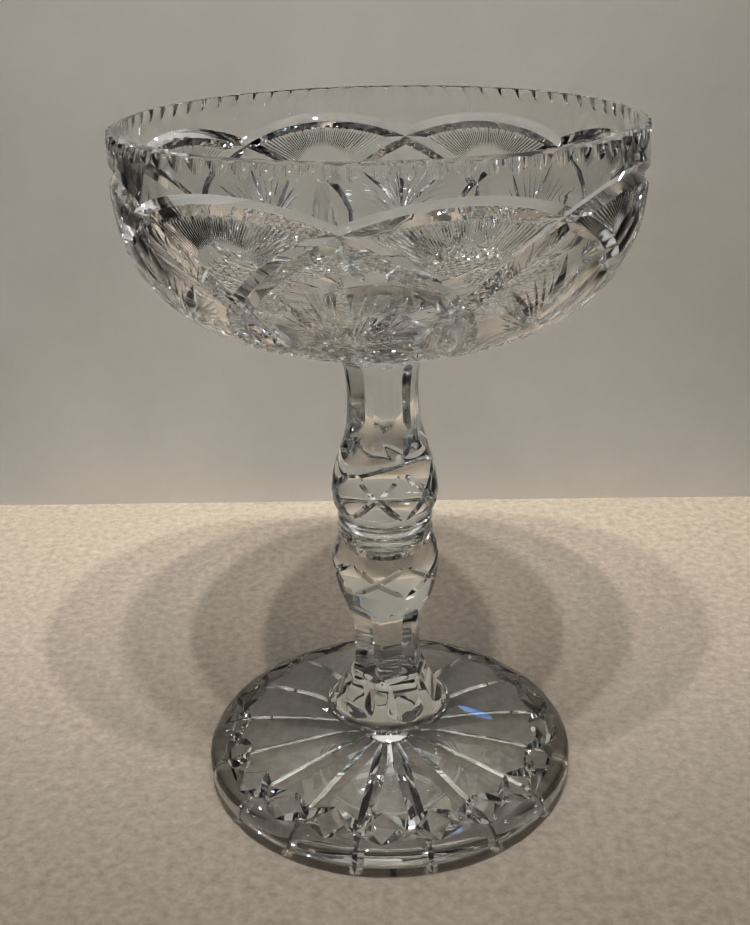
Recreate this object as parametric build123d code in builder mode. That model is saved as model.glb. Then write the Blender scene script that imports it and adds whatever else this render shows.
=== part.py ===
from build123d import *

import os
from math import atan2, cos, degrees, radians, sin, tan

# Cut-glass punch bowl on a tall pedestal, in millimetres, +Z up.
# The origin is the centre of the foot's resting plane.
# Pieces from the top down: bowl, upper_stem (bonded under the bowl),
# lower_stem (takes the upper stem's ground spigot) and foot (bonded under it).

# ---- driving dimensions ----------------------------------------------------
height = 442.0  # foot to rim
seam_z = 187.0  # where the lift-off upper part meets the pedestal

# Bowl: the outside is a superellipse turned about Z, with a straight collar above it
bowl_radius = 153.4  # widest point
bowl_depth = 104.3
bowl_shoulder_z = 418.0  # height of the widest point
bowl_power = 2.59
wall = 8.0
floor_thickness = 12.0
rim_radius = 152.5
lip_thickness = 6.6
lip_drop = 1.5  # the lip's outer edge is lower than its inner edge
lip_flat = 1.6  # level part of the lip, at its inner edge
pad_radius = 36.5  # flat pad under the bowl that the upper stem is bonded to
pad_z = 312.5
pad_height = 7.0

# Rim: a ring of scallops, hollow flutes cut slantwise through the outer edge
scallop_count = 72
scallop_low_z = 431.0  # where a flute runs out down the side
scallop_bite = 1.8  # how far it bites into the lip
scallop_wheel = 14.5  # radius of its hollow

# Arches: each is one V cut in a plane that slopes through the bowl, along a circle
arch_count = 8
arch_top_az = 14.7  # azimuth of one arch's top
arch_top_z = 419.9
arch_slope = 45.8  # the plane's slope, in degrees
arch_radius = 108.8
arch_reach = 78.0  # how far the cut runs round its circle each way, in degrees
arch_width = 11.4
arch_depth = 4.4
arch_rise = 7.0  # height of the V cutter, which clears the surface all along the cut

# Fans: three leaf-shaped wheel cuts in each kite-shaped panel between the arches
leaf_wheel_radius = 60.0
leaf_bite = 2.8
leaf_lean = 27.0  # lean of the outer two
leaf_spread = 0.23  # degrees of azimuth for each degree of lean
kite_vertex_z = 346.0
leaf_reach = 19.0  # from the vertex to the middle of a leaf

# Upper stem
shoulder_radius = 31.0
spigot_radius = 20.0
spigot_length = 19.0
spigot_taper = 1.0  # narrowing over the spigot's length
spigot_clearance = 0.08  # radial, all round
socket_extra_depth = 1.5
groove_z = 194.6
groove_depth = 1.2
groove_rise = 1.6  # from the shoulder's top edge to the groove's bottom
neck_edge_az = -9.5  # azimuth of one of the neck's six edges
side_count = 6
cross_lean = 54.0  # lean of the crossing cuts round both bulbs
cross_bite = 1.6
cross_ring_radius = 45.0
upper_cross_z = 216.0
lower_cross_z = 156.5

# Lower stem
collar_low_z = 179.0
stem_base_z = 48.0
stem_base_radius = 38.6

# Foot
foot_radius = 126.3
foot_shoulder_radius = 124.3  # a point on the rounded shoulder
foot_shoulder_z = 16.6
foot_cone_radius = 119.0
foot_cone_z = 20.0
foot_side_z = 12.0  # top of the foot's upright side
foot_arris = (1.5, 3.0)  # width and height of the slope round the resting edge
hub_radius = 42.8
hub_bevel = (1.5, 1.0)
recess_radius = 108.0
recess_depth = 1.5
ray_count = 16
ray_az = 11.25
ray_depth = 4.0
ray_start = 8.0
ray_end = 119.0
diamond_count = 20
diamond_az = -3.5
diamond_inner = 97.5
diamond_outer = 119.5
diamond_depth = 2.8

# Cutting wheels have a V edge of this angle
wheel_angle = 104.0
cutter_reach = 60.0  # far enough to clear any stem


def superellipse(radius, depth, steps=9):
    """Points from the axis out to the widest point, at even angles."""
    points = []
    for i in range(steps + 1):
        t = radians(90.0 * i / steps)
        r = radius * sin(t) ** (2 / bowl_power)
        z = bowl_shoulder_z - depth * max(cos(t), 0.0) ** (2 / bowl_power)
        points.append((r, z))
    points[-1] = (radius, bowl_shoulder_z)
    return points


def bowl_surface_radius(z):
    """Outer radius of the bowl at height z, below its shoulder."""
    drop = (bowl_shoulder_z - z) / bowl_depth
    return bowl_radius * (1 - drop**bowl_power) ** (1 / bowl_power)


def polar(radius, az, z=0.0):
    """A point from its radius and its azimuth, measured from -Y towards +X."""
    return Vector(radius * sin(radians(az)), -radius * cos(radians(az)), z)


def cut_plane(point, outward, lean, setback):
    """Stands a wheel or ring at a surface point: its plane holds the outward
    direction, and leans from upright. The centre is setback behind the point."""
    side = Vector(0, 0, 1).cross(outward).normalized()
    up = outward.cross(side).normalized()
    along = up * cos(radians(lean)) + side * sin(radians(lean))
    return Plane(origin=point - outward * setback, x_dir=outward, z_dir=outward.cross(along))


def v_wheel(wheel_radius):
    """A disc with a V edge, turned about Z."""
    half = wheel_radius * 0.2
    flank = wheel_radius - half / tan(radians(wheel_angle / 2))
    with BuildPart(mode=Mode.PRIVATE) as wheel:
        with BuildSketch(Plane.XZ):
            with BuildLine():
                edge = (wheel_radius, 0)
                Polyline((0, -half), (flank, -half), edge, (flank, half), (0, half), close=True)
            make_face()
        revolve(axis=Axis.Z)
    return wheel.part


def v_ring(ring_radius, rise=8.0, angle=wheel_angle, tilt=0.0, reach=180.0):
    """A ring whose V edge points inwards, turned about Z from -reach to reach.
    The V opens outwards by rise, tilted down from the ring's plane."""
    spread = angle / 2
    length = rise / cos(radians(spread))
    corners = [(ring_radius, 0)]
    for turn in (-spread - tilt, spread - tilt):
        corners.append((ring_radius + length * cos(radians(turn)), length * sin(radians(turn))))
    with BuildPart(mode=Mode.PRIVATE) as ring:
        with BuildSketch(Plane.XZ):
            with BuildLine():
                Polyline(*corners, close=True)
            make_face()
        revolve(axis=Axis.Z, revolution_arc=2 * reach)
    return ring.part.rotate(Axis.Z, -reach)


def v_groove(start, end, down, rise=9.0):
    """A straight V cutter whose edge runs from start to end. Down is into the glass."""
    along = (end - start).normalized()
    section = Plane(origin=start, x_dir=along.cross(down), z_dir=along)
    half = rise * tan(radians(wheel_angle / 2))
    with BuildPart(mode=Mode.PRIVATE) as groove:
        with BuildSketch(section):
            with BuildLine():
                Polyline((0, 0), (half, rise), (-half, rise), close=True)
            make_face()
        extrude(amount=(end - start).length)
    return groove.part


def round_groove(start, end, outward, radius):
    """A straight cylinder that hollows the surface along the line from start to end."""
    along = (end - start).normalized()
    square = (outward - along * outward.dot(along)).normalized()
    with BuildPart(mode=Mode.PRIVATE) as groove:
        with BuildSketch(Plane(origin=start + square * radius, x_dir=square, z_dir=along)):
            Circle(radius)
        extrude(amount=(end - start).length)
    return groove.part


def flat_cutter(profile, az):
    """Cuts one flat side: everything outside the profile of (radius, z) points."""
    side = polar(1, az)
    face_plane = Plane(origin=(0, 0, 0), x_dir=side, z_dir=side.cross(Vector(0, 0, 1)))
    with BuildPart(mode=Mode.PRIVATE) as cutter:
        with BuildSketch(face_plane):
            with BuildLine():
                inner = Spline(*profile)
                far = cutter_reach
                Polyline(inner @ 1, (far, profile[-1][1]), (far, profile[0][1]), inner @ 0)
            make_face()
        extrude(amount=cutter_reach, both=True)
    return cutter.part


# ---- bowl --------------------------------------------------------------------
outside = superellipse(bowl_radius, bowl_depth)
inside = superellipse(bowl_radius - wall, bowl_depth - floor_thickness)
with BuildPart() as bowl:
    with BuildSketch(Plane.XZ):
        with BuildLine():
            skin = Spline(*outside, tangents=[(1, 0), (0, 1)])
            hollow = Spline(*inside, tangents=[(1, 0), (0, 1)])
            lip_inner = rim_radius - lip_thickness
            Polyline(
                skin @ 1,
                (rim_radius, height - lip_drop),
                (lip_inner + lip_flat, height),
                (lip_inner, height),
                hollow @ 1,
            )
            Line(hollow @ 0, skin @ 0)
        make_face()
    revolve(axis=Axis.Z)
    with BuildSketch(Plane.XY.offset(pad_z)):
        Circle(pad_radius)
    extrude(amount=pad_height)
    # scallops: flutes that climb inwards from the side and break out through the lip
    overrun = 0.6
    for i in range(scallop_count):
        az = arch_top_az + i * 360 / scallop_count
        low = polar(bowl_radius, az, scallop_low_z)
        high = polar(rim_radius - scallop_bite, az, height - lip_drop)
        run = high - low
        flute = round_groove(low - run * overrun, high + run * overrun, polar(1, az), scallop_wheel)
        add(flute, mode=Mode.SUBTRACT)
    # arches: V rings in sloping planes, opening square to the bowl's surface
    edge_x = arch_radius - arch_depth * cos(radians(arch_slope))
    half_angle = degrees(atan2(arch_width / 2, arch_depth))
    arch_ring = v_ring(edge_x, arch_rise, 2 * half_angle, arch_slope, arch_reach)
    for i in range(arch_count):
        az = arch_top_az + 360 / arch_count * i
        outward = polar(cos(radians(arch_slope)), az, sin(radians(arch_slope)))
        normal = polar(-sin(radians(arch_slope)), az, cos(radians(arch_slope)))
        centre = polar(bowl_radius, az, arch_top_z) - outward * arch_radius
        place = Plane(origin=centre, x_dir=outward, z_dir=normal)
        lift = Location((0, 0, arch_depth * sin(radians(arch_slope))))
        add(arch_ring.moved(place.location * lift), mode=Mode.SUBTRACT)
    leaf_wheel = v_wheel(leaf_wheel_radius)
    for i in range(arch_count):
        az = arch_top_az - 180 / arch_count + 360 / arch_count * i
        for lean in (-leaf_lean, 0, leaf_lean):
            z = kite_vertex_z + leaf_reach * cos(radians(lean))
            leaf_az = az + lean * leaf_spread
            slope = (bowl_surface_radius(z + 1) - bowl_surface_radius(z - 1)) / 2
            outward = (polar(1, leaf_az) - Vector(0, 0, slope)).normalized()
            point = polar(bowl_surface_radius(z), leaf_az, z)
            place = cut_plane(point, outward, lean, leaf_bite - leaf_wheel_radius)
            add(leaf_wheel.moved(place.location), mode=Mode.SUBTRACT)
bowl.part.label = "bowl"

# ---- upper stem ----------------------------------------------------------------
# radius and height of the turned outline, seam to pad
upper_bulb_radius = 34.4
upper_outline = [
    (31.2, 196.5),
    (upper_bulb_radius, 208.5),
    (30.6, 231.0),
    (25.6, 250.0),
    (23.2, 270.0),
    (23.8, 287.0),
    (29.0, 305.0),
    (35.0, pad_z),
]
upper_flats = [
    (29.8, 235.5),
    (25.6, 243.0),
    (22.3, 251.0),
    (20.3, 263.0),
    (20.1, 274.0),
    (20.6, 286.0),
    (22.6, 297.0),
    (30.6, 307.5),
]
with BuildPart() as upper_stem:
    with BuildSketch(Plane.XZ):
        with BuildLine():
            side = Spline(*upper_outline)
            groove = upper_outline[0][0] - groove_depth
            tip = spigot_radius - spigot_taper
            low = seam_z - spigot_length
            Polyline(
                (0, low),
                (tip, low),
                (spigot_radius, seam_z),
                (shoulder_radius, seam_z),
                (shoulder_radius, groove_z - groove_rise),
                (groove, groove_z),
                side @ 0,
            )
            Polyline(side @ 1, (0, pad_z), (0, low))
        make_face()
    revolve(axis=Axis.Z)
    for i in range(side_count):
        az = neck_edge_az + (i + 0.5) * 360 / side_count
        add(flat_cutter(upper_flats, az), mode=Mode.SUBTRACT)
    # a lattice of crossing mitre cuts round the bulb
    cross_ring = v_ring(cross_ring_radius)
    for i in range(side_count):
        az = neck_edge_az + i * 360 / side_count
        point = polar(upper_bulb_radius, az, upper_cross_z)
        for lean in (-cross_lean, cross_lean):
            place = cut_plane(point, polar(1, az), lean, cross_ring_radius + cross_bite)
            add(cross_ring.moved(place.location), mode=Mode.SUBTRACT)
upper_stem.part.label = "upper_stem"

# ---- lower stem ----------------------------------------------------------------
lower_bulb_radius = 35.4
lower_outline = [
    (stem_base_radius, stem_base_z),
    (34.8, 57.0),
    (27.6, 71.0),
    (23.7, 84.0),
    (23.4, 102.0),
    (24.7, 117.5),
    (31.2, 137.0),
    (lower_bulb_radius, 160.0),
    (30.4, 177.0),
]
lower_flats = [
    (22.6, 77.0),
    (20.7, 84.0),
    (20.2, 96.0),
    (20.4, 108.0),
    (21.8, 119.0),
    (26.0, 129.0),
    (31.6, 137.0),
]
with BuildPart() as lower_stem:
    with BuildSketch(Plane.XZ):
        with BuildLine():
            side = Spline(*lower_outline)
            socket = spigot_radius + spigot_clearance
            socket_low = seam_z - spigot_length - socket_extra_depth
            narrow = socket - spigot_taper
            Polyline(
                side @ 1,
                (shoulder_radius, collar_low_z),
                (shoulder_radius, seam_z),
                (socket, seam_z),
                (narrow, socket_low),
                (0, socket_low),
                (0, stem_base_z),
                side @ 0,
            )
        make_face()
    revolve(axis=Axis.Z)
    for i in range(side_count):
        az = neck_edge_az + (i + 0.5) * 360 / side_count
        add(flat_cutter(lower_flats, az), mode=Mode.SUBTRACT)
    for i in range(side_count):
        az = neck_edge_az + i * 360 / side_count
        point = polar(lower_bulb_radius, az, lower_cross_z)
        for lean in (-cross_lean, cross_lean):
            place = cut_plane(point, polar(1, az), lean, cross_ring_radius + cross_bite)
            add(cross_ring.moved(place.location), mode=Mode.SUBTRACT)
lower_stem.part.label = "lower_stem"

# ---- foot ----------------------------------------------------------------------
with BuildPart() as foot:
    with BuildSketch(Plane.XZ):
        with BuildLine():
            edge = Line((foot_radius - foot_arris[0], 0), (foot_radius, foot_arris[1]))
            wall_side = Line(edge @ 1, (foot_radius, foot_side_z))
            ThreePointArc(
                wall_side @ 1,
                (foot_shoulder_radius, foot_shoulder_z),
                (foot_cone_radius, foot_cone_z),
            )
            Polyline(
                (foot_cone_radius, foot_cone_z),
                (hub_radius, stem_base_z - hub_bevel[1]),
                (hub_radius - hub_bevel[0], stem_base_z),
                (0, stem_base_z),
                (0, recess_depth),
                (recess_radius, recess_depth),
                (recess_radius + recess_depth, 0),
                edge @ 0,
            )
        make_face()
    revolve(axis=Axis.Z)
    # the star of rays under the foot
    for i in range(ray_count):
        az = ray_az + i * 360 / ray_count
        start = polar(ray_start, az, recess_depth + ray_depth)
        end = polar(ray_end, az, recess_depth + ray_depth)
        add(v_groove(start, end, Vector(0, 0, 1)), mode=Mode.SUBTRACT)
    # the ring of diamonds on top: two sets of crossing V cuts
    slope = (stem_base_z - hub_bevel[1] - foot_cone_z) / (foot_cone_radius - hub_radius)
    for i in range(diamond_count):
        az = diamond_az + i * 360 / diamond_count
        start = polar(diamond_outer, az, foot_cone_z - diamond_depth)
        for turn in (-1, 1):
            rise = (foot_cone_radius - diamond_inner) * slope
            end = polar(diamond_inner, az + turn * 360 / diamond_count, start.Z + rise)
            add(v_groove(start, end, Vector(0, 0, -1)), mode=Mode.SUBTRACT)
foot.part.label = "foot"

# ---- files ---------------------------------------------------------------------
os.makedirs("parts", exist_ok=True)
for piece in (bowl, upper_stem, lower_stem, foot):
    export_step(piece.part, f"parts/{piece.part.label}.step")
    print(piece.part.label, len(piece.part.solids()), round(piece.part.volume / 1000, 1), "cm3")
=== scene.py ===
from math import cos, degrees, pi, radians, sin

import bmesh
import bpy
import numpy as np
from mathutils import Matrix, Vector
from mathutils.geometry import delaunay_2d_cdt


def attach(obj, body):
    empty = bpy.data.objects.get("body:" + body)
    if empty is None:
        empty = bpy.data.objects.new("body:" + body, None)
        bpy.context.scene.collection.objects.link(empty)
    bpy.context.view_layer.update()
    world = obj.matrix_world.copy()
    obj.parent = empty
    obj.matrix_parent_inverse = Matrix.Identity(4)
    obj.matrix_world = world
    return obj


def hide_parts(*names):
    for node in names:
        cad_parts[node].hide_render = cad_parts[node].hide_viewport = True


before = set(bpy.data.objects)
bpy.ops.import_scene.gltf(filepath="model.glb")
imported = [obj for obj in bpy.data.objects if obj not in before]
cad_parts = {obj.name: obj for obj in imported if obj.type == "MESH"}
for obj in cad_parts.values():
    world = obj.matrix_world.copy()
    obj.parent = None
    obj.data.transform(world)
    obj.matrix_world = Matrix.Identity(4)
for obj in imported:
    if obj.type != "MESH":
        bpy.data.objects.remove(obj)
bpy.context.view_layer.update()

MM = 0.001

# Driving sizes, in millimetres, the same as the CAD model's
HEIGHT = 442.0
SEAM_Z = 187.0
PAD_Z = 312.5
PAD_RADIUS = 36.5  # the flat pad under the bowl that the upper stem is bonded to
STEM_BASE_Z = 48.0
BOWL_RADIUS = 153.4
BOWL_DEPTH = 104.3
SHOULDER_Z = 418.0
BOWL_POWER = 2.59
WALL = 8.0
FLOOR_THICKNESS = 12.0
RIM_RADIUS = 152.5
LIP = 6.6
FOOT_RADIUS = 126.3
LIP_DROP = 1.5  # the lip's outer edge is lower than its inner edge
FLANK = 0.78  # a V cut's depth over half its width: the wheels have an edge of 104 degrees
FINE_FLANK = 0.72  # the same for the finest lines


# ---------------------------------------------------------------------------
# A turned skin, cut by grooves
# ---------------------------------------------------------------------------
# A skin is a profile turned about Z. It is flattened to (u, v): u is the angle
# round the axis, and v is the distance along the profile divided by the radius
# there. That map keeps angles true, so a pattern drawn in it isn't skewed. One
# mirror half of one repeat is triangulated with every groove's lines as edges,
# then mirrored and turned all the way round.


def smooth(x):
    x = np.clip(x, 0.0, 1.0)
    return x * x * (3 - 2 * x)


def between(a, b, start, end, x):
    """The point at x on the line that passes a at start and b at end."""
    return (end - x) / (end - start) * a + (x - start) / (end - start) * b


def curve(points, step=0.5):
    """A smooth line through the points (Catmull-Rom, spaced by the chords' roots)."""
    p = np.array(points, float)
    p = np.vstack([2 * p[0] - p[1], p, 2 * p[-1] - p[-2]])
    t = np.concatenate([[0], np.cumsum(np.sqrt(np.linalg.norm(np.diff(p, axis=0), axis=1)))])
    out = []
    for i in range(1, len(p) - 2):
        count = max(2, int(np.linalg.norm(p[i + 1] - p[i]) / step))
        for x in np.linspace(t[i], t[i + 1], count, endpoint=False):
            a = [between(p[k], p[k + 1], t[k], t[k + 1], x) for k in (i - 1, i, i + 1)]
            b = [between(a[k], a[k + 1], t[i - 1 + k], t[i + 1 + k], x) for k in (0, 1)]
            out.append(between(*b, t[i], t[i + 1], x))
    out.append(p[-2])
    return [tuple(q) for q in out]


def superellipse(radius, depth, start=0.0, steps=240):
    """Points (r, z) from the widest point down to where the radius is start."""
    points = []
    for i in range(steps + 1):
        t = radians(90.0 * (1 - i / steps))
        r = radius * sin(t) ** (2 / BOWL_POWER)
        if r < start:
            break
        points.append((r, SHOULDER_Z - depth * max(cos(t), 0.0) ** (2 / BOWL_POWER)))
    return points


class Profile:
    """Named stretches of (r, z) points, joined end to end. Outward is to the left or
    the right of the way it runs, as side says: the glass is on the other side."""

    def __init__(self, stretches, side=1):
        r, z, corners, self.names, self.starts = [], [], [], [], []
        for name, points in stretches:
            self.names.append(name)
            first = len(r) - 1 if r else 0
            self.starts.append(first)
            corners.append(first)
            r += [p[0] for p in points]
            z += [p[1] for p in points]
        keep = [0]
        for i in range(1, len(r)):
            if np.hypot(r[i] - r[keep[-1]], z[i] - z[keep[-1]]) > 1e-6:
                keep.append(i)
        remap = np.searchsorted(keep, corners, side="right") - 1
        self.starts = [int(i) for i in remap]
        self.r = np.array(r)[keep]
        self.z = np.array(z)[keep]
        dr, dz = np.diff(self.r), np.diff(self.z)
        ds = np.hypot(dr, dz)
        mid = (self.r[1:] + self.r[:-1]) / 2
        self.s = np.concatenate([[0], np.cumsum(ds)])
        self.v = np.concatenate([[0], np.cumsum(ds / mid)])
        nr = np.gradient(self.z, self.s) * side
        nz = -np.gradient(self.r, self.s) * side
        size = np.hypot(nr, nz)
        self.nr, self.nz = nr / size, nz / size

    def r_at(self, v):
        return np.interp(v, self.v, self.r)

    def z_at(self, v):
        return np.interp(v, self.v, self.z)

    def v_start(self, name):
        return self.v[self.starts[self.names.index(name)]]

    def v_of(self, name, r=None, z=None):
        """Where the stretch passes a radius or a height."""
        i = self.names.index(name)
        a = self.starts[i]
        b = self.starts[i + 1] if i + 1 < len(self.starts) else len(self.v) - 1
        values = (self.z if r is None else self.r)[a : b + 1]
        want = z if r is None else r
        if values[0] > values[-1]:
            return float(np.interp(want, values[::-1], self.v[a : b + 1][::-1]))
        return float(np.interp(want, values, self.v[a : b + 1]))


class Groove:
    """A straight V cut in (u, v) from a to b. Width and depth are in millimetres,
    and taper to nothing over a share of the length at each end."""

    def __init__(self, profile, a, b, width, taper=(0.5, 0.5), step=2.0, flank=FLANK):
        self.p, self.a, self.b = profile, np.array(a, float), np.array(b, float)
        self.width, self.depth_mm, self.taper, self.step = width, width / 2 * flank, taper, step
        self.along = self.b - self.a
        self.length = np.linalg.norm(self.along)
        self.along = self.along / self.length

    def swell(self, t):
        """How full the cut is at share t of its length: a wheel's cut is an arc."""
        full = np.ones_like(t)
        head, tail = self.taper
        if head > 0:
            x = np.clip(t / head, 0, 1)
            full = np.where(t < head, x * (2 - x), full)
        if tail > 0:
            x = np.clip((1 - t) / tail, 0, 1)
            full = np.where(t > 1 - tail, np.minimum(full, x * (2 - x)), full)
        return np.clip(full, 0, 1)

    def depth(self, u, v):
        du, dv = u - self.a[0], v - self.a[1]
        t = (du * self.along[0] + dv * self.along[1]) / self.length
        off = np.abs(-du * self.along[1] + dv * self.along[0]) * self.p.r_at(v)
        full = self.swell(t) * ((t >= 0) & (t <= 1))
        half = np.maximum(full * self.width / 2, 1e-9)
        return full * self.depth_mm * np.clip(1 - off / half, 0, 1)

    def lines(self):
        r = float(self.p.r_at((self.a[1] + self.b[1]) / 2))
        count = max(2, int(round(self.length * r / self.step)))
        t = np.linspace(0, 1, count + 1)
        mid = self.a + np.outer(t * self.length, self.along)
        half = self.swell(t) * self.width / 2 / self.p.r_at(mid[:, 1])
        across = np.array([-self.along[1], self.along[0]])
        return [mid, mid + half[:, None] * across, mid - half[:, None] * across]


def clip_line(line, low, high):
    """The pieces of a polyline with low <= u <= high."""
    out = []
    for a, b in zip(line[:-1], line[1:]):
        du = b[0] - a[0]
        t0, t1 = 0.0, 1.0
        if abs(du) < 1e-12:
            if a[0] < low - 1e-9 or a[0] > high + 1e-9:
                continue
        else:
            ta, tb = (low - a[0]) / du, (high - a[0]) / du
            t0, t1 = max(t0, min(ta, tb)), min(t1, max(ta, tb))
            if t1 - t0 < 1e-9:
                continue
        p, q = a + (b - a) * t0, a + (b - a) * t1
        p[0], q[0] = np.clip(p[0], low, high), np.clip(q[0], low, high)
        out.append((p, q))
    return out


class Skin:
    """Builds the closed mesh of one turned and cut piece."""

    def __init__(self, profile, repeats, first_az, cuts, rows, grid, shape=None, extra_lines=()):
        self.p, self.repeats, self.first_az = profile, repeats, radians(first_az)
        self.cuts, self.rows, self.grid, self.shape = cuts, rows, grid, shape
        self.extra_lines = extra_lines
        self.v_range = (profile.v[0], profile.v[-1])
        self.half = np.pi / repeats
        # each cut's copies that can reach the half: (mirrored or not, turned by)
        turn = 2 * self.half
        self.copies = ((1, 0), (-1, 0), (-1, turn), (1, -turn), (1, turn))

    def flat_mesh(self):
        low, high = self.v_range
        segments = []
        lines = [np.array(line, float) for line in self.extra_lines]
        for cut in self.cuts:
            lines += [np.array(line, float) for line in cut.lines()]
        for line in lines:
            if len(line) < 2:
                continue
            line = line[(line[:, 1] >= low - 1e-9) & (line[:, 1] <= high + 1e-9)]
            for flip, shift in self.copies:
                moved = line * [flip, 1] + [shift, 0]
                segments += clip_line(moved, 0.0, self.half)
        points = [p for seg in segments for p in seg]
        edges = [(2 * i, 2 * i + 1) for i in range(len(segments))]
        near = np.array([(p + q) / 2 for p, q in segments] + points) if segments else np.zeros((0, 2))
        rows = sorted(set([low, high] + [float(v) for v in self.rows if low < v < high]))
        # rows of points: v runs on in steps of the grid's size, and each named row is an edge
        v = low
        stops = []
        for a, b in zip(rows[:-1], rows[1:]):
            size = self.grid((a + b) / 2) / self.p.r_at((a + b) / 2)
            count = max(1, int(np.ceil((b - a) / size)))
            stops += [(x, x == a) for x in np.linspace(a, b, count, endpoint=False)]
        stops.append((high, True))
        for i, (v, fixed) in enumerate(stops):
            size = self.grid(v) / self.p.r_at(v)
            count = max(2, int(np.ceil(self.half / size)))
            us = np.linspace(0, self.half, count + 1)
            if not fixed and i % 2:
                us = np.concatenate([[0], (us[1:] + us[:-1]) / 2, [self.half]])
            if fixed:
                start = len(points)
                points += [np.array([x, v]) for x in us]
                edges += [(start + k, start + k + 1) for k in range(len(us) - 1)]
                continue
            for x in us:
                if len(near):
                    gap = np.min(np.hypot(near[:, 0] - x, near[:, 1] - v))
                    if gap < 0.45 * size:
                        continue
                points.append(np.array([x, v]))
        coords = [Vector((float(p[0]), float(p[1]))) for p in points]
        verts, _, faces, *_ = delaunay_2d_cdt(coords, edges, [], 0, 1e-7)
        uv = np.array([(p.x, p.y) for p in verts])
        for column, edge in ((0, 0.0), (0, self.half), (1, low), (1, high)):
            uv[np.abs(uv[:, column] - edge) < 2e-6, column] = edge
        return uv, np.array([tuple(f) for f in faces if len(f) == 3])

    def place(self, uv):
        """Row-frame (r, z) of each flat point, after cutting."""
        u, v = uv[:, 0], uv[:, 1]
        r, z = self.p.r_at(v), self.p.z_at(v)
        nr = np.interp(v, self.p.v, self.p.nr)
        nz = np.interp(v, self.p.v, self.p.nz)
        if self.shape:
            r = self.shape(u, r, z)
        deep = np.zeros_like(u)
        dir_r, dir_z = nr.copy(), nz.copy()
        for cut in self.cuts:
            for flip, shift in self.copies:
                d = cut.depth(flip * u + shift, v)
                more = d > deep
                deep = np.where(more, d, deep)
                if hasattr(cut, "direction"):
                    dir_r = np.where(more, cut.direction[0], dir_r)
                    dir_z = np.where(more, cut.direction[1], dir_z)
                else:
                    dir_r = np.where(more, nr, dir_r)
                    dir_z = np.where(more, nz, dir_z)
        return r - deep * dir_r, z - deep * dir_z

    def build(self, caps):
        """Vertices in metres, triangles, and each triangle's mean v (caps are nan, -inf/inf)."""
        uv, tris = self.flat_mesh()
        r, z = self.place(uv)
        all_v, all_f, all_m = [], [], []
        base = 0
        mean_v = uv[tris, 1].mean(axis=1)
        # rings for the caps, in order of u
        ends = []
        for k, level in enumerate(self.v_range):
            if caps[k]:
                ring = np.where(np.abs(uv[:, 1] - level) < 1e-7)[0]
                ends.append((k, ring[np.argsort(uv[ring, 0])]))
        for i in range(self.repeats):
            for flip in (1, -1):
                az = self.first_az + 2 * self.half * i + flip * uv[:, 0]
                pos = np.stack([r * np.sin(az), -r * np.cos(az), z], axis=1) * MM
                all_v.append(pos)
                f = tris if flip > 0 else tris[:, ::-1]
                all_f.append(f + base)
                all_m.append(mean_v)
                extra = len(uv)
                for k, ring in ends:
                    all_v.append(np.array([[0, 0, z[ring].mean() * MM]]))
                    fan = np.stack([np.full(len(ring) - 1, extra), ring[1:], ring[:-1]], axis=1)
                    if (k == 1) != (flip < 0):
                        fan = fan[:, ::-1]
                    all_f.append(fan + base)
                    all_m.append(np.full(len(fan), -np.inf if k == 0 else np.inf))
                    extra += 1
                base += extra
        return np.vstack(all_v), np.vstack(all_f), np.concatenate(all_m)


FIRST, LAST = -np.inf, np.inf  # which end cap of a skin is bonded to its neighbour


def make_mesh(name, parts, materials, bonded, sharp=14.0):
    """Joins skins' pieces into one closed, welded mesh object. The faces of the
    bonded cap take the second material. Edges over sharp degrees stay crisp."""
    verts, faces, marks = [], [], []
    base = 0
    for v, f, m in parts:
        verts.append(v)
        faces.append(f + base)
        marks += [int(x == bonded) for x in m]
        base += len(v)
    verts, faces = np.vstack(verts), np.vstack(faces)
    key = np.round(verts / 2e-6).astype(np.int64)
    _, first, inverse = np.unique(key, axis=0, return_index=True, return_inverse=True)
    inverse = inverse.reshape(-1)
    faces = inverse[faces]
    good = (faces[:, 0] != faces[:, 1]) & (faces[:, 1] != faces[:, 2]) & (faces[:, 0] != faces[:, 2])
    faces, marks = faces[good], np.array(marks)[good]
    mesh = bpy.data.meshes.new(name)
    mesh.from_pydata(verts[first].tolist(), [], faces.tolist())
    mesh.polygons.foreach_set("material_index", marks.astype(np.int32))
    bm = bmesh.new()
    bm.from_mesh(mesh)
    bmesh.ops.remove_doubles(bm, verts=bm.verts, dist=3e-6)
    bmesh.ops.recalc_face_normals(bm, faces=bm.faces)
    bm.to_mesh(mesh)
    bm.free()
    mesh.shade_smooth()
    mesh.set_sharp_from_angle(angle=radians(sharp))
    obj = bpy.data.objects.new(name, mesh)
    bpy.context.scene.collection.objects.link(obj)
    for m in materials:
        mesh.materials.append(m)
    return obj


# ---------------------------------------------------------------------------
# Materials
# ---------------------------------------------------------------------------

GLASS_IOR = 1.54
RIPPLE = 0.02
RIPPLE_SCALE = 60.0
HAZE = 0.003  # the polish's roughest, in faint patches
HAZE_SCALE = 25.0


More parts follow.
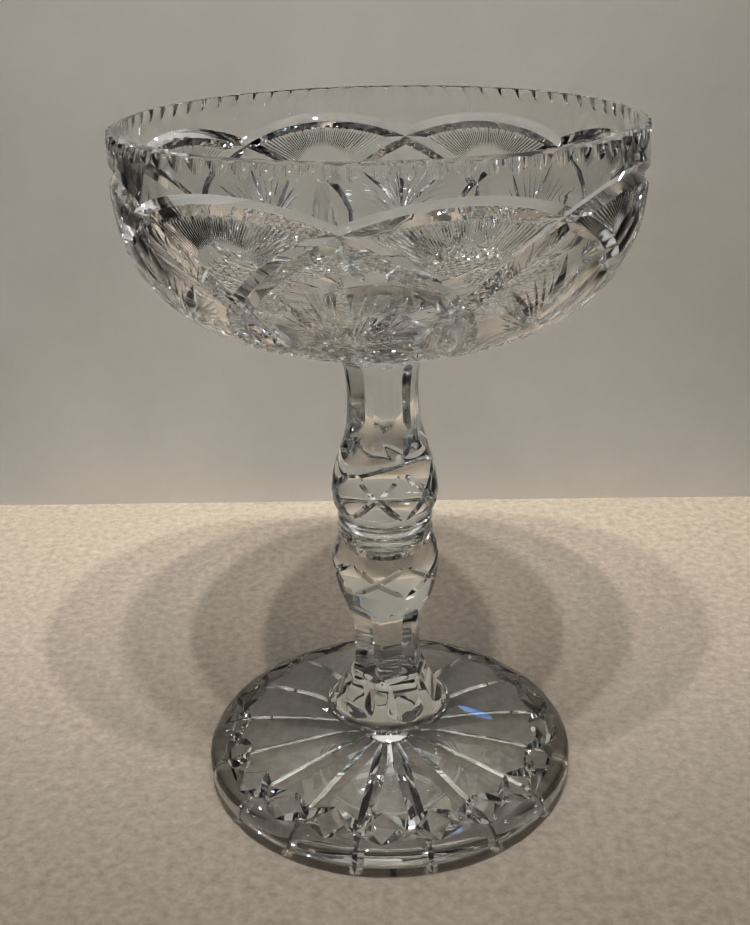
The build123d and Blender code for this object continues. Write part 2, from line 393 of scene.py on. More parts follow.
def crystal(name, tint, passed=0.52):
    """Clear polished glass: faint ripple in the polish, and lamps shine through it.
    A surface that faces a lamp squarely lets the share passed through."""
    m = bpy.data.materials.new(name)
    m.use_nodes = True
    t = m.node_tree
    n, link = t.nodes, t.links
    n.clear()
    out = n.new("ShaderNodeOutputMaterial")
    glass = n.new("ShaderNodeBsdfPrincipled")
    glass.inputs["Base Color"].default_value = (*tint, 1)
    glass.inputs["Transmission Weight"].default_value = 1.0
    glass.inputs["IOR"].default_value = GLASS_IOR
    place = n.new("ShaderNodeTexCoord")
    waves = n.new("ShaderNodeTexNoise")
    waves.inputs["Scale"].default_value = RIPPLE_SCALE
    waves.inputs["Detail"].default_value = 2.0
    link.new(place.outputs["Object"], waves.inputs["Vector"])
    bump = n.new("ShaderNodeBump")
    bump.inputs["Strength"].default_value = RIPPLE
    bump.inputs["Distance"].default_value = 0.001
    link.new(waves.outputs["Fac"], bump.inputs["Height"])
    link.new(bump.outputs["Normal"], glass.inputs["Normal"])
    wear = n.new("ShaderNodeTexNoise")
    wear.inputs["Scale"].default_value = HAZE_SCALE
    link.new(place.outputs["Object"], wear.inputs["Vector"])
    spread = n.new("ShaderNodeMapRange")
    spread.inputs["From Min"].default_value = 0.4
    spread.inputs["From Max"].default_value = 0.8
    spread.inputs["To Min"].default_value = 0.0
    spread.inputs["To Max"].default_value = HAZE
    link.new(wear.outputs["Fac"], spread.inputs["Value"])
    link.new(spread.outputs["Result"], glass.inputs["Roughness"])
    # a lamp's light goes through, less of it where it strikes the surface at a slant
    slant = n.new("ShaderNodeLayerWeight")
    slant.inputs["Blend"].default_value = 0.5
    let_by = n.new("ShaderNodeMapRange")
    let_by.inputs["To Min"].default_value = passed
    let_by.inputs["To Max"].default_value = 0.0
    clear = n.new("ShaderNodeBsdfTransparent")
    link.new(slant.outputs["Facing"], let_by.inputs["Value"])
    link.new(let_by.outputs["Result"], clear.inputs["Color"])
    path = n.new("ShaderNodeLightPath")
    lighting = n.new("ShaderNodeMath")
    lighting.operation = "MAXIMUM"
    link.new(path.outputs["Is Shadow Ray"], lighting.inputs[0])
    link.new(path.outputs["Is Diffuse Ray"], lighting.inputs[1])
    mix = n.new("ShaderNodeMixShader")
    link.new(lighting.outputs["Value"], mix.inputs["Fac"])
    link.new(glass.outputs["BSDF"], mix.inputs[1])
    link.new(clear.outputs["BSDF"], mix.inputs[2])
    link.new(mix.outputs["Shader"], out.inputs["Surface"])
    return m


def bond(name):
    """Where two pieces are fused or bonded: no air between them, so light goes straight on."""
    m = bpy.data.materials.new(name)
    m.use_nodes = True
    n, link = m.node_tree.nodes, m.node_tree.links
    n.clear()
    out = n.new("ShaderNodeOutputMaterial")
    clear = n.new("ShaderNodeBsdfTransparent")
    link.new(clear.outputs["BSDF"], out.inputs["Surface"])
    return m


def plain(name, color, grain, scale):
    """A matt surface with faint mottling, for the floor and the wall."""
    m = bpy.data.materials.new(name)
    m.use_nodes = True
    n, link = m.node_tree.nodes, m.node_tree.links
    body = n["Principled BSDF"]
    body.inputs["Roughness"].default_value = 0.5
    place = n.new("ShaderNodeTexCoord")
    noise = n.new("ShaderNodeTexNoise")
    noise.inputs["Scale"].default_value = scale
    noise.inputs["Detail"].default_value = 10.0
    noise.inputs["Roughness"].default_value = 0.68
    link.new(place.outputs["Object"], noise.inputs["Vector"])
    tone = n.new("ShaderNodeMapRange")
    tone.inputs["From Min"].default_value = 0.3
    tone.inputs["From Max"].default_value = 0.7
    tone.inputs["To Min"].default_value = 1.0 - grain
    tone.inputs["To Max"].default_value = 1.0
    link.new(noise.outputs["Fac"], tone.inputs["Value"])
    shade = n.new("ShaderNodeVectorMath")
    shade.operation = "SCALE"
    shade.inputs[0].default_value = color
    link.new(tone.outputs["Result"], shade.inputs["Scale"])
    link.new(shade.outputs["Vector"], body.inputs["Base Color"])
    return m


# ---------------------------------------------------------------------------
# Bowl
# ---------------------------------------------------------------------------

ARCHES = 8
ARCH_AZ = 14.7
ARCH_Z = 419.9
ARCH_SLOPE = radians(45.8)
ARCH_WIDTH = 11.4
ARCH_DEPTH = ARCH_WIDTH / 2 * FLANK
ARCH_FADE = (radians(47.5), radians(56.5))  # angles from its top over which the cut dies out
NOTCH_PITCH = radians(5.0)
NOTCH_LOW_Z = 432.0
NOTCH_BITE = 1.8  # how far a scallop bites into the rim's top
NOTCH_WHEEL = 14.5  # radius of the scallop's hollow
FAN_Z = 382.0
FAN_INNER = 20.5
FAN_STEP = radians(2.75)
FAN_LINES = 27
KITE_Z = 346.0
# the kite's fine lines: each one's lean from upright in degrees, and its length
KITE_LINES = (
    (8.0, 34.5),
    (15.5, 37.95),
    (23.0, 37.95),
    (30.5, 34.5),
    (49.0, 33.35),
    (57.0, 29.9),
    (65.0, 25.3),
    (73.0, 20.7),
)


class Arch:
    """A V cut where a sloping plane meets the bowl: the arch's two flanks and mitre."""

    def __init__(self, profile, centre):
        self.p, self.centre = profile, centre
        self.high = profile.v_of("collar", z=NOTCH_LOW_Z - 0.5)
        self.low = profile.v_of("outside", z=325.0)
        self.half = ARCH_WIDTH / 2 * cos(ARCH_SLOPE)

    def off(self, u, v, r=None, z=None):
        r = self.p.r_at(v) if r is None else r
        z = self.p.z_at(v) if z is None else z
        inward = BOWL_RADIUS - r * np.cos(u - self.centre)
        return (z - ARCH_Z) * cos(ARCH_SLOPE) + inward * sin(ARCH_SLOPE)

    def full(self, u):
        return smooth((ARCH_FADE[1] - np.abs(u - self.centre)) / (ARCH_FADE[1] - ARCH_FADE[0]))

    def depth(self, u, v):
        full = np.where((v > self.high) & (v < self.low), self.full(u), 0.0)
        half = np.maximum(self.half * full, 1e-9)
        return full * ARCH_DEPTH * np.clip(1 - np.abs(self.off(u, v)) / half, 0, 1)

    def lines(self):
        vs = np.linspace(self.high, self.low, 1500)
        out = []
        for share in (0.0, -1.0, 1.0):
            for way in (-1, 1):
                line = []
                for t in np.linspace(0.0, ARCH_FADE[1] - 1e-4, 58):
                    u = self.centre + way * t
                    f = self.off(u, vs) - share * self.half * self.full(u)
                    flips = np.where((f[:-1] > 0) & (f[1:] <= 0))[0]
                    if len(flips) == 0:
                        break
                    i = flips[0]
                    line.append((u, vs[i] + (vs[i + 1] - vs[i]) * f[i] / (f[i] - f[i + 1])))
                out.append(line)
        return out

    def fold(self, other):
        """Where this arch's flank meets another's, across their crossing."""
        vs = np.linspace(self.high, self.low, 1500)
        middle = (self.centre + other.centre) / 2
        line = []
        for way in (-1, 1):
            side = []
            for t in np.radians(np.arange(0.0, 12.0, 0.4)):
                f = self.off(middle + way * t, vs) + other.off(middle + way * t, vs)
                i = np.where((f[:-1] > 0) & (f[1:] <= 0))[0][0]
                side.append((middle + way * t, vs[i]))
                if abs(self.off(middle + way * t, vs[i])) > self.half:
                    break
            line += side[::-1] if way < 0 else side[1:]
        return line


class Scallop:
    """A round-bottomed flute cut slantwise through the rim's outer edge."""

    def __init__(self, profile, centre):
        self.p, self.centre = profile, centre
        self.low = Vector((BOWL_RADIUS - 0.2, NOTCH_LOW_Z))
        run = (Vector((RIM_RADIUS - NOTCH_BITE, HEIGHT - LIP_DROP)) - self.low).normalized()
        self.direction = (run.y, -run.x)  # outwards and up, square to the flute's bottom line

    def middle(self, v):
        r, z = self.p.r_at(v), self.p.z_at(v)
        deep = (r - self.low.x) * self.direction[0] + (z - self.low.y) * self.direction[1]
        inside = (v >= self.p.v_start("lip") - 1e-9) & (v <= self.p.v_of("collar", z=NOTCH_LOW_Z - 1))
        return np.where(inside, np.maximum(deep, 0), 0.0)

    def half_width(self, v):
        deep = self.middle(v)
        return np.sqrt(np.maximum(2 * NOTCH_WHEEL * deep - deep**2, 0))

    def depth(self, u, v):
        off = np.minimum(np.abs(u - self.centre) * self.p.r_at(v), NOTCH_WHEEL)
        return np.maximum(self.middle(v) - (NOTCH_WHEEL - np.sqrt(NOTCH_WHEEL**2 - off**2)), 0)

    def lines(self):
        inner = self.p.v_of("lip", r=RIM_RADIUS - NOTCH_BITE - 0.6)
        lip = np.linspace(inner, self.p.v_start("collar"), 60)
        first = lip[np.argmax(self.middle(lip) > 0)]
        vs = list(np.linspace(first, lip[-1], 5))
        low, top = NOTCH_LOW_Z + 0.02, HEIGHT - LIP_DROP
        heights = [low + (top - low) * share for share in (0.8, 0.6, 0.42, 0.27, 0.15, 0.06, 0)]
        vs += [self.p.v_of("collar", z=z) for z in heights]
        vs = np.array(vs)
        half = self.half_width(vs) / self.p.r_at(vs)
        shares = np.linspace(-1, 1, 11)
        return [np.stack([self.centre + share * half, vs], axis=1) for share in shares]


def make_bowl(glass, joint):
    inside = superellipse(BOWL_RADIUS - WALL, BOWL_DEPTH - FLOOR_THICKNESS, 10.0)[::-1]
    lip_inner = RIM_RADIUS - LIP
    lip_z = HEIGHT - LIP_DROP
    collar = [
        (RIM_RADIUS + (BOWL_RADIUS - RIM_RADIUS) * share, lip_z + (SHOULDER_Z - lip_z) * share)
        for share in np.linspace(0, 1, 25)
    ]
    outside = superellipse(BOWL_RADIUS, BOWL_DEPTH, 37.5)
    pad_side = [outside[-1], (PAD_RADIUS, 313.6), (PAD_RADIUS, PAD_Z), (PAD_RADIUS - 1.5, PAD_Z)]
    profile = Profile(
        [
            ("inside", inside),
            ("inner_collar", [inside[-1], (lip_inner + 0.02, 436.0), (lip_inner, HEIGHT - 2.2)]),
            ("inner_edge", [(lip_inner, HEIGHT - 2.2), (lip_inner, HEIGHT)]),
            ("lip", [(lip_inner, HEIGHT), (lip_inner + 1.6, HEIGHT), (RIM_RADIUS, lip_z)]),
            ("collar", collar),
            ("outside", outside),
            ("pad", pad_side),
        ],
        side=-1,
    )
    half = np.pi / ARCHES
    arches = [Arch(profile, c * 2 * half) for c in (0, 1, -1)]
    cuts = list(arches)
    cuts += [Scallop(profile, k * NOTCH_PITCH) for k in range(5)]

    def uv(deg, z):
        return (radians(deg), profile.v_of("outside", z=z))

    # the fan of fine lines under each arch
    centre_v = profile.v_of("outside", z=FAN_Z)
    for k in range(FAN_LINES):
        angle = (k + 0.5) * FAN_STEP
        way = np.array([sin(angle), -cos(angle)])
        # it runs out to whichever arch it meets first
        reach = FAN_INNER
        while reach < 70:
            u, v = np.array([0.0, centre_v]) + way * reach / BOWL_RADIUS
            if arches[0].off(u, v) > -arches[0].half or arches[1].off(u, v) < arches[1].half:
                break
            reach += 0.25
        if reach < FAN_INNER + 2:
            continue
        start = np.array([0.0, centre_v]) + way * FAN_INNER / BOWL_RADIUS
        end = np.array([0.0, centre_v]) + way * (reach + 0.7) / BOWL_RADIUS
        wide = 0.86 * (reach + FAN_INNER) / 2 * FAN_STEP
        cuts.append(Groove(profile, start, end, min(wide, 1.25), (0.06, 0.03), 4.0, FINE_FLANK))
    # the kite between the arches: three leaves and fine lines between them, from its lowest corner
    side = degrees(half)
    vertex = uv(side, KITE_Z)
    cuts.append(Groove(profile, uv(side, 349.0), uv(side, 391.0), 7.6, (0.42, 0.58), 2.0))
    cuts.append(Groove(profile, uv(side - 1.6, 348.5), uv(side - 12.5, 377.0), 7.2, (0.42, 0.58), 2.0))
    r0 = float(profile.r_at(vertex[1]))
    for angle, length in KITE_LINES:
        way = np.array([-sin(radians(angle)), -cos(radians(angle))])
        start = np.array(vertex) + way * 4.0 / r0
        cuts.append(Groove(profile, start, start + way * length / r0, 1.8, (0.4, 0.5), 3.0))
    # underneath: a star of broad rays, and a band of small hobnails round it
    ray_end = profile.v_of("outside", r=44)
    cuts.append(Groove(profile, uv(side, 344.0), (half, ray_end), 8.0, (0.35, 0.3), 2.5))
    cuts.append(Groove(profile, uv(0, 352.0), (0, ray_end), 8.0, (0.3, 0.3), 2.5))
    top, bottom = profile.v_of("outside", r=118), profile.v_of("outside", r=62)
    pitch = 2 * half / 8
    for k in range(-8, 9):
        a = np.array([k * pitch, top])
        b = a + np.array([bottom - top, bottom - top])
        cuts.append(Groove(profile, a, b, 4.2, (0.12, 0.12), 3.0))
    extra = [arches[0].fold(arches[1]), arches[1].fold(arches[2])]
    named = ("inner_collar", "inner_edge", "lip", "collar", "outside", "pad")
    rows = [profile.v_start(name) for name in named]
    rows += [profile.v_of("pad", z=313.6), profile.v_of("pad", z=PAD_Z + 1e-4)]

    def grid(v):
        if v < profile.v_start("inner_edge"):
            return 6.0 if profile.r_at(v) > 60 else 4.0
        return 2.6 if v > profile.v_start("outside") else 2.2

    skin = Skin(profile, ARCHES, ARCH_AZ, cuts, rows, grid, extra_lines=extra)
    part = skin.build(caps=(True, True))
    return make_mesh("crystal_bowl", [part], [glass, joint], LAST)


# ---------------------------------------------------------------------------
# Stems
# ---------------------------------------------------------------------------

EDGE_AZ = -9.5
SIDES = 6
SPIGOT_RADIUS = 20.0
SPIGOT_LENGTH = 19.0
SPIGOT_TAPER = 1.0


def crossed(profile, name, z_mid, z_top, width):
    """The two crossing cuts at each panel's edge. u is 0 at the edge, where they cross."""
    cuts = []
    top, middle = profile.v_of(name, z=z_top), profile.v_of(name, z=z_mid)
    for reach in (radians(-28.5), radians(28.5)):
        start, end = (reach, top), (-reach, 2 * middle - top)
        cuts.append(Groove(profile, start, end, width, (0.2, 0.2), 1.5))
    return cuts


def panels(flat_share):
    """Six flat sides: flat_share(z) is the flat's distance over the turned radius."""

    def shape(u, r, z):
        away = np.pi / SIDES - np.abs(u)
        return np.minimum(r, r * flat_share(z) / np.cos(away))

    return shape


def make_upper_stem(glass, joint):
    bulb = curve(
        [
            (31.2, 196.6),
            (33.6, 202.0),
            (34.4, 209.0),
            (33.0, 221.0),
            (30.6, 231.0),
            (27.9, 240.0),
            (25.6, 250.0),
            (23.9, 261.0),
            (23.2, 272.0),
            (23.5, 284.0),
            (25.0, 295.0),
            (29.0, 305.0),
            (35.0, PAD_Z),
        ]
    )
    tip, tip_z = SPIGOT_RADIUS - SPIGOT_TAPER, SEAM_Z - SPIGOT_LENGTH
    bead_in, bead_half = 30.3, 3.0
    bead = [
        (bead_in + 0.7 * sin(radians(a)), SEAM_Z + bead_half * (1 - cos(radians(a))))
        for a in range(0, 181, 15)
    ]
    profile = Profile(
        [
            ("spigot", [(tip - 0.8, tip_z), (tip, tip_z + 0.8), (SPIGOT_RADIUS, SEAM_Z)]),
            ("shoulder", [(SPIGOT_RADIUS, SEAM_Z), (bead_in, SEAM_Z)]),
            ("bead", bead),
            ("groove", [(bead_in, SEAM_Z + 2 * bead_half), (29.9, 194.6), (31.2, 196.6)]),
            ("bulb", bulb),
        ],
        side=1,
    )
    half = np.pi / SIDES

    def flat_share(z):
        share = np.cos(half) + 0.05 + 0.11 * smooth((252 - z) / 18)
        return share + 0.11 * smooth((z - 296) / 12)

    cuts = crossed(profile, "bulb", 216.0, 231.0, 4.6)
    rows = [profile.v_start(name) for name in ("shoulder", "bead", "groove", "bulb")]

    def grid(v):
        return 1.1 if profile.z_at(v) > SEAM_Z - 1 else 2.5

    skin = Skin(profile, SIDES, EDGE_AZ, cuts, rows, grid, shape=panels(flat_share))
    part = skin.build(caps=(True, True))
    return make_mesh("crystal_upper_stem", [part], [glass, joint], LAST, 16.0)


def make_lower_stem(glass, joint):
    bulb = curve(
        [
            (25.0, 77.5),
            (23.7, 84.0),
            (23.3, 96.0),
            (23.4, 108.0),
            (24.7, 117.5),
            (27.5, 127.0),
            (31.2, 137.0),
            (33.4, 146.0),
            (35.1, 156.0),
            (35.2, 164.0),
            (32.6, 173.0),
            (30.2, 178.2),
        ]
    )
    bell = curve(
        [
            (38.6, STEM_BASE_Z),
            (37.6, 51.0),
            (34.8, 57.0),
            (31.0, 64.0),
            (27.6, 71.0),
            (25.6, 76.6),
        ]
    )
    # the collar's outline, with two fine rings turned in it
    rings = [
        (30.2, 178.2),
        (30.9, 179.0),
        (31.0, 181.0),
        (30.7, 181.5),
        (31.0, 182.0),
        (31.1, 184.6),
        (30.8, 185.1),
        (31.0, 185.6),
        (30.8, 186.5),
    ]
    seat_z = SEAM_Z - 0.06
    socket = SPIGOT_RADIUS + 0.08
    deep = SEAM_Z - SPIGOT_LENGTH - 1.5
    profile = Profile(
        [
            ("bell", bell),
            ("step", [bell[-1], (25.0, 77.5)]),
            ("bulb", bulb),
            ("collar", rings + [(30.3, seat_z)]),
            ("seat", [(30.3, seat_z), (socket, seat_z)]),
            ("socket", [(socket, seat_z), (socket - SPIGOT_TAPER, deep)]),
        ],
        side=1,
    )
    half = np.pi / SIDES

    def flat_share(z):
        share = np.cos(half) + 0.16 * smooth((z - 123) / 15)
        return share + 0.06 * smooth((77.5 - z) / 2.5) + 0.10 * smooth((58 - z) / 9)

    cuts = crossed(profile, "bulb", 156.5, 167.5, 4.4)
    rows = [profile.v_start(name) for name in ("step", "bulb", "collar", "seat", "socket")]
    rows += [profile.v_of("collar", z=z) for _, z in rings[1:]]
    skin = Skin(profile, SIDES, EDGE_AZ, cuts, rows, lambda v: 1.1, shape=panels(flat_share))
    part = skin.build(caps=(True, True))
    return make_mesh("crystal_lower_stem", [part], [glass, joint], FIRST, 16.0)


# ---------------------------------------------------------------------------
# Foot
# ---------------------------------------------------------------------------

EDGE_STEPS = 640  # points round the edge, where the top's and the underside's meshes meet
EDGE_Z = 8.0
CONE_RADIUS = 119.0
CONE_Z = 20.0
UPRIGHT_Z = 12.0  # top of the foot's upright side
HUB_RADIUS = 42.8
RECESS_RADIUS = 108.0
RECESS_DEPTH = 1.5
CORNER = 3.0  # radius of the rounded edge that it rests on
DIAMONDS = 20
DIAMOND_INNER = 97.5
RAYS = 16


def make_foot(glass, joint):
    # a fine ring turned in the hub, round the stem
    hub = [
        (38.6, STEM_BASE_Z),
        (39.2, 47.4),
        (40.0, 47.2),
        (40.8, 47.6),
        (41.8, 47.6),
        (HUB_RADIUS, 46.6),
    ]
    shoulder = [
        (
            CONE_RADIUS + (FOOT_RADIUS - CONE_RADIUS) * sin(radians(a)),
            UPRIGHT_Z + (CONE_Z - UPRIGHT_Z) * cos(radians(a)),
        )
        for a in range(0, 91, 10)
    ]
    top = Profile(
        [
            ("hub", hub),
            ("cone", [hub[-1], (CONE_RADIUS, CONE_Z)]),
            ("shoulder", shoulder),
            ("edge", [(FOOT_RADIUS, UPRIGHT_Z), (FOOT_RADIUS, EDGE_Z)]),
        ],
        side=-1,
    )
    # the diamonds: crossing cuts, each from one vertex of the ring to the next
    tip = (0.0, top.v_of("cone", r=CONE_RADIUS))
    end = (2 * np.pi / DIAMONDS, top.v_of("cone", r=DIAMOND_INNER))
    cuts = [Groove(top, tip, end, 10.0, (0.5, 0.5), 1.6)]
    rows = [top.v_start(name) for name in ("cone", "shoulder", "edge")]
    rows += [top.v_of("hub", r=r) for r, _ in hub[1:-1]]
    edge_step = 2 * np.pi * FOOT_RADIUS / EDGE_STEPS

    def grid(v):
        if v >= top.v[-1] - 1e-6:
            return edge_step
        return 2.0 if top.r_at(v) > 92 else 3.2

    skin = Skin(top, DIAMONDS, -3.375, cuts, rows, grid)
    upper = skin.build(caps=(True, False))
    corner = [
        (FOOT_RADIUS - CORNER + CORNER * cos(radians(a)), CORNER - CORNER * sin(radians(a)))
        for a in range(0, 91, 15)
    ]
    step_radius = RECESS_RADIUS + RECESS_DEPTH
    under = Profile(
        [
            ("edge", [(FOOT_RADIUS, EDGE_Z), (FOOT_RADIUS, CORNER)]),
            ("corner", corner),
            ("ring", [(FOOT_RADIUS - CORNER, 0.0), (step_radius, 0.0)]),
            ("step", [(step_radius, 0.0), (RECESS_RADIUS, RECESS_DEPTH)]),
            ("recess", [(RECESS_RADIUS, RECESS_DEPTH), (9.0, RECESS_DEPTH)]),
        ],
        side=-1,
    )
    start = (0.0, under.v_of("ring", r=122.5))
    end = (0.0, under.v_of("recess", r=12.0))
    cuts = [Groove(under, start, end, 10.2, (0.2, 0.0), 2.5)]
    rows = [under.v_start(name) for name in ("corner", "ring", "step", "recess")]

    def grid_under(v):
        if v <= 1e-6:
            return edge_step
        return 2.4 if under.r_at(v) > 60 else 2.0

    skin = Skin(under, RAYS, 11.25, cuts, rows, grid_under)
    lower = skin.build(caps=(False, True))
    return make_mesh("crystal_foot", [upper, lower], [glass, joint], FIRST)


# ---------------------------------------------------------------------------
# Stage: floor, wall, lights, camera
# ---------------------------------------------------------------------------


def card(name, corners, material):
    mesh = bpy.data.meshes.new(name)
    mesh.from_pydata(corners, [], [(0, 1, 2, 3)])
    mesh.materials.append(material)
    obj = bpy.data.objects.new(name, mesh)
    bpy.context.scene.collection.objects.link(obj)
    return obj


def lamp(name, place, aim, size, power, color, spread=180):
    """A round soft lamp: size across in metres, power in watts, spread in degrees."""
    data = bpy.data.lights.new(name, "AREA")
    data.shape = "DISK"
    data.size = size
    data.energy = power
    data.color = color
    data.spread = radians(spread)
    obj = bpy.data.objects.new(name, data)
    obj.location = place
    obj.rotation_euler = (Vector(aim) - Vector(place)).to_track_quat("-Z", "Y").to_euler()
    bpy.context.scene.collection.objects.link(obj)
    return obj


CAMERA_PLACE = (-0.0059, -0.7109, 0.5392)
CAMERA_TILT = 66.28  # degrees up from straight down
CAMERA_ROLL = -1.255
CAMERA_LENS = 47.2


def make_camera():
    data = bpy.data.cameras.new("camera")
    data.sensor_width = 36.0
    data.lens = CAMERA_LENS
    data.clip_start = 0.01
    obj = bpy.data.objects.new("camera", data)
    tilt = Matrix.Rotation(radians(CAMERA_TILT), 4, "X")
    roll = Matrix.Rotation(radians(CAMERA_ROLL), 4, "Z")
    obj.matrix_world = Matrix.Translation(CAMERA_PLACE) @ tilt @ roll
    bpy.context.scene.collection.objects.link(obj)
    bpy.context.scene.camera = obj


def paint_light_falloff(m, axis, near, far, left, seen=False):
    """Paints shade into a surface's colour along one axis, as light falling off: full at near, a share
    left at far.
    Unless seen, this painted shade darkens only what the glass mirrors and bends."""
    n, link = m.node_tree.nodes, m.node_tree.links
    body = n["Principled BSDF"]
    color = body.inputs["Base Color"].links[0].from_socket
    place = n.new("ShaderNodeTexCoord")
    split = n.new("ShaderNodeSeparateXYZ")
    tone = n.new("ShaderNodeMapRange")
    tone.interpolation_type = "SMOOTHSTEP"
    tone.inputs["From Min"].default_value = far
    tone.inputs["From Max"].default_value = near
    tone.inputs["To Min"].default_value = left
    shade = n.new("ShaderNodeVectorMath")
    shade.operation = "SCALE"
    link.new(place.outputs["Object"], split.inputs["Vector"])
    link.new(split.outputs[axis], tone.inputs["Value"])
    link.new(color, shade.inputs[0])
    if seen:
        link.new(tone.outputs["Result"], shade.inputs["Scale"])
    else:
        link.new(unless_camera(n, link, tone.outputs["Result"]), shade.inputs["Scale"])
    link.new(shade.outputs["Vector"], body.inputs["Base Color"])


def unless_camera(n, link, value):
    """The value, or 1 where the camera looks straight at the surface."""
    path = n.new("ShaderNodeLightPath")
    high = n.new("ShaderNodeMath")
    high.operation = "MAXIMUM"
    link.new(value, high.inputs[0])
    link.new(path.outputs["Is Camera Ray"], high.inputs[1])
    return high.outputs["Value"]


def one_sided(m):
    """Leaves a surface clear when it is looked at from behind."""
    n, link = m.node_tree.nodes, m.node_tree.links
    side = n.new("ShaderNodeNewGeometry")
    clear = n.new("ShaderNodeBsdfTransparent")
    mix = n.new("ShaderNodeMixShader")
    link.new(side.outputs["Backfacing"], mix.inputs["Fac"])
    link.new(n["Principled BSDF"].outputs["BSDF"], mix.inputs[1])
    link.new(clear.outputs["BSDF"], mix.inputs[2])
    link.new(mix.outputs["Shader"], n["Material Output"].inputs["Surface"])


WALL_TOP = 0.56
DOWN_LIGHTS = (-0.40, -0.10, 0.17, 0.46)  # along X
GLINTS = 21
GLINT_FAR = 2.2
GLINT_HEIGHTS = (34, 62, 47)  # degrees up, in turn
WARM = (1.0, 0.955, 0.90)
WARM_WHITE = (1, 0.97, 0.91)
WINDOW_BLUE = (0.72, 0.86, 1.0)
SKY_BLUE = (0.12, 0.38, 1.0)


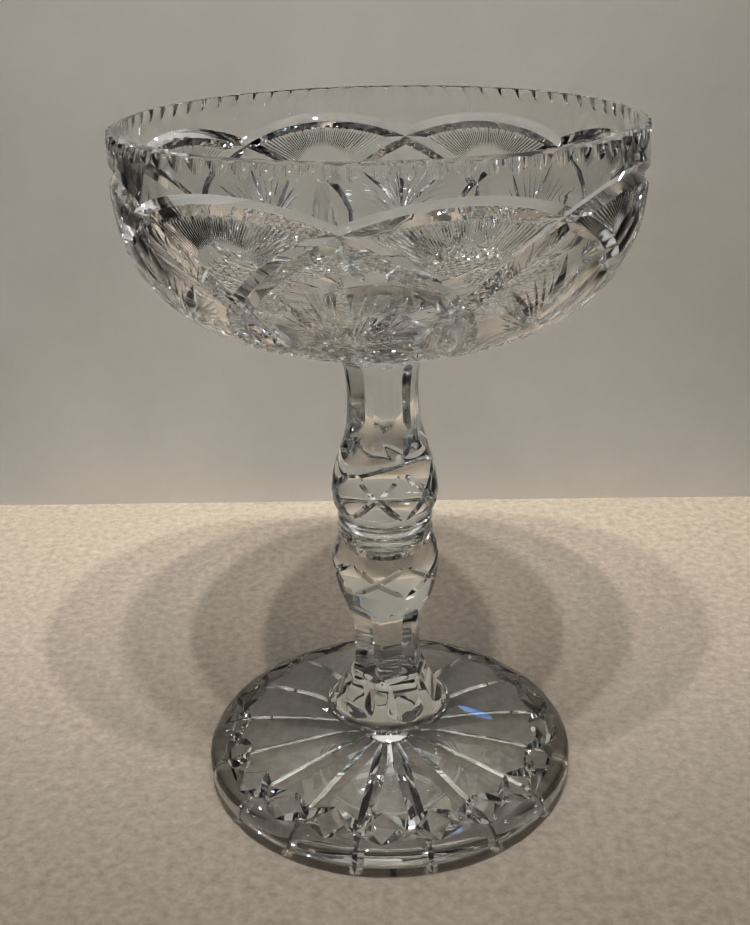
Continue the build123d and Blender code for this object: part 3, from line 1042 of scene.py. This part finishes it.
def make_stage():
    floor = plain("pale_stone", (0.82, 0.74, 0.65), grain=0.34, scale=140.0)
    wall = plain("pale_wall", (0.70, 0.69, 0.655), grain=0.10, scale=5.0)
    # painted light falloff: the floor's colour darkens from the wall toward the camera, as the down
    # lights' pool of light fades. Behind the camera, painted shade that only the glass sees stands in
    # for the dark room there.
    paint_light_falloff(floor, "Y", 0.42, -0.30, 0.46, seen=True)
    paint_light_falloff(floor, "Y", -0.30, -0.75, 0.25)
    # painted shade: to the glass, the floor and the wall darken toward the sides, standing in for the
    # unlit room beyond
    for way in (-1, 1):
        paint_light_falloff(floor, "X", 0.40 * way, 0.56 * way, 0.08)
        paint_light_falloff(wall, "X", 0.42 * way, 0.60 * way, 0.03)
    one_sided(wall)
    card("floor", [(-3, -3, 0), (3, -3, 0), (3, 3, 0), (-3, 3, 0)], floor)
    left, right = (-1.4, 0.45), (1.4, 0.386)
    card("wall", [(*left, 0), (*right, 0), (*right, WALL_TOP), (*left, WALL_TOP)], wall)
    world = bpy.data.worlds.new("studio")
    bpy.context.scene.world = world
    world.use_nodes = True
    n, link = world.node_tree.nodes, world.node_tree.links
    ground = n["Background"]
    place = n.new("ShaderNodeTexCoord")
    split = n.new("ShaderNodeSeparateXYZ")
    ramp = n.new("ShaderNodeValToRGB")
    link.new(place.outputs["Generated"], split.inputs["Vector"])
    link.new(split.outputs["Z"], ramp.inputs["Fac"])
    ramp.color_ramp.elements[0].position = 0.25
    ramp.color_ramp.elements[0].color = (0.012, 0.016, 0.024, 1)
    ramp.color_ramp.elements[1].position = 0.95
    ramp.color_ramp.elements[1].color = (0.8, 0.8, 0.8, 1)
    path = n.new("ShaderNodeLightPath")
    mix = n.new("ShaderNodeMix")
    mix.data_type = "RGBA"
    link.new(path.outputs["Is Camera Ray"], mix.inputs["Factor"])
    link.new(ramp.outputs["Color"], mix.inputs["A"])
    mix.inputs["B"].default_value = (0.88, 0.82, 0.74, 1)
    link.new(mix.outputs["Result"], ground.inputs["Color"])
    ground.inputs["Strength"].default_value = 0.35
    for k, x in enumerate(DOWN_LIGHTS):
        aim = (0.1 * x - 0.06, 0.25, 0)
        lamp(f"down_light_{k + 1}", (x, -0.89, 2.4), aim, 0.06, 1.8, WARM, 76)
    window = lamp("window", (-2.2, -1.6, 1.5), (0, 0, 0.2), 0.7, 6.0, WINDOW_BLUE)
    window.visible_glossy = False
    window.visible_transmission = False
    # soft light on the floor round about, which the glass doesn't show
    for name, x, y in (("fill_back", 0, -2.2), ("fill_left", -2.2, 0), ("fill_right", 2.2, 0)):
        fill = lamp(name, (x, y, 2.2), (x, y, 0), 1.2, 9.0, (1.0, 0.97, 0.93), 85)
        fill.visible_camera = False
        fill.visible_glossy = False
        fill.visible_transmission = False
    # small lamps all round that only the glass shows, for its sparkle
    for k in range(GLINTS):
        az = 2 * pi * (k + 0.3) / GLINTS
        high = radians(GLINT_HEIGHTS[k % len(GLINT_HEIGHTS)])
        place = Vector((sin(az) * cos(high), -cos(az) * cos(high), sin(high))) * GLINT_FAR
        color = ((1, 1, 1), (0.75, 0.87, 1))[k % 2]
        glint = lamp(f"glint_{k + 1}", place, (0, 0, 0.3), 0.07, 1.0, color, 90)
        glint.visible_diffuse = False
        glint.visible_glossy = False
    # a soft panel above the wall, which the cuts' slopes mirror
    panel_z = WALL_TOP + 0.27
    panel = lamp("soft_panel", (0, 0.44, panel_z), (0, 0, panel_z), 1.5, 1.0, WARM_WHITE)
    panel.data.shape = "RECTANGLE"
    panel.data.size_y = 0.55
    panel.visible_camera = False
    panel.visible_diffuse = False
    # a patch of blue that the foot mirrors beside the hub
    sky_place, mirror_place = (0.26, 0.327, 0.263), (0.06, -0.01, 0.042)
    sky = lamp("sky", sky_place, mirror_place, 0.038, 0.0006, SKY_BLUE, 40)
    sky.visible_camera = False
    sky.visible_diffuse = False


# ---------------------------------------------------------------------------

make_camera()
make_stage()
bowl_glass = crystal("cut_crystal", (0.975, 0.98, 0.975))
stem_glass = crystal("stem_crystal", (0.945, 0.96, 0.95))
foot_glass = crystal("foot_crystal", (0.965, 0.98, 0.975), passed=0.72)
seal = bond("bonded_joint")

pieces = [
    (make_bowl(bowl_glass, seal), "bowl_unit", "bowl", "bowl_glass"),
    (make_upper_stem(stem_glass, seal), "bowl_unit", "upper_stem", "stem_glass"),
    (make_lower_stem(stem_glass, seal), "pedestal", "lower_stem", "stem_glass"),
    (make_foot(foot_glass, seal), "pedestal", "foot", "foot_glass"),
]
for piece, body, node, slot in pieces:
    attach(piece, body)
    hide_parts(node)

scene = bpy.context.scene
scene.cycles.max_bounces = 32
scene.cycles.transmission_bounces = 28
scene.cycles.glossy_bounces = 12
scene.cycles.diffuse_bounces = 3
scene.cycles.transparent_max_bounces = 40
scene.cycles.sample_clamp_indirect = 20.0
scene.cycles.caustics_refractive = False
scene.cycles.caustics_reflective = False
scene.view_settings.view_transform = "Standard"
# a little more contrast, as a telephone's camera gives
scene.view_settings.use_curve_mapping = True
contrast = scene.view_settings.curve_mapping
for dark_to_light in ((0.07, 0.034), (0.3, 0.3), (0.6, 0.74)):
    contrast.curves[3].points.new(*dark_to_light)
contrast.update()
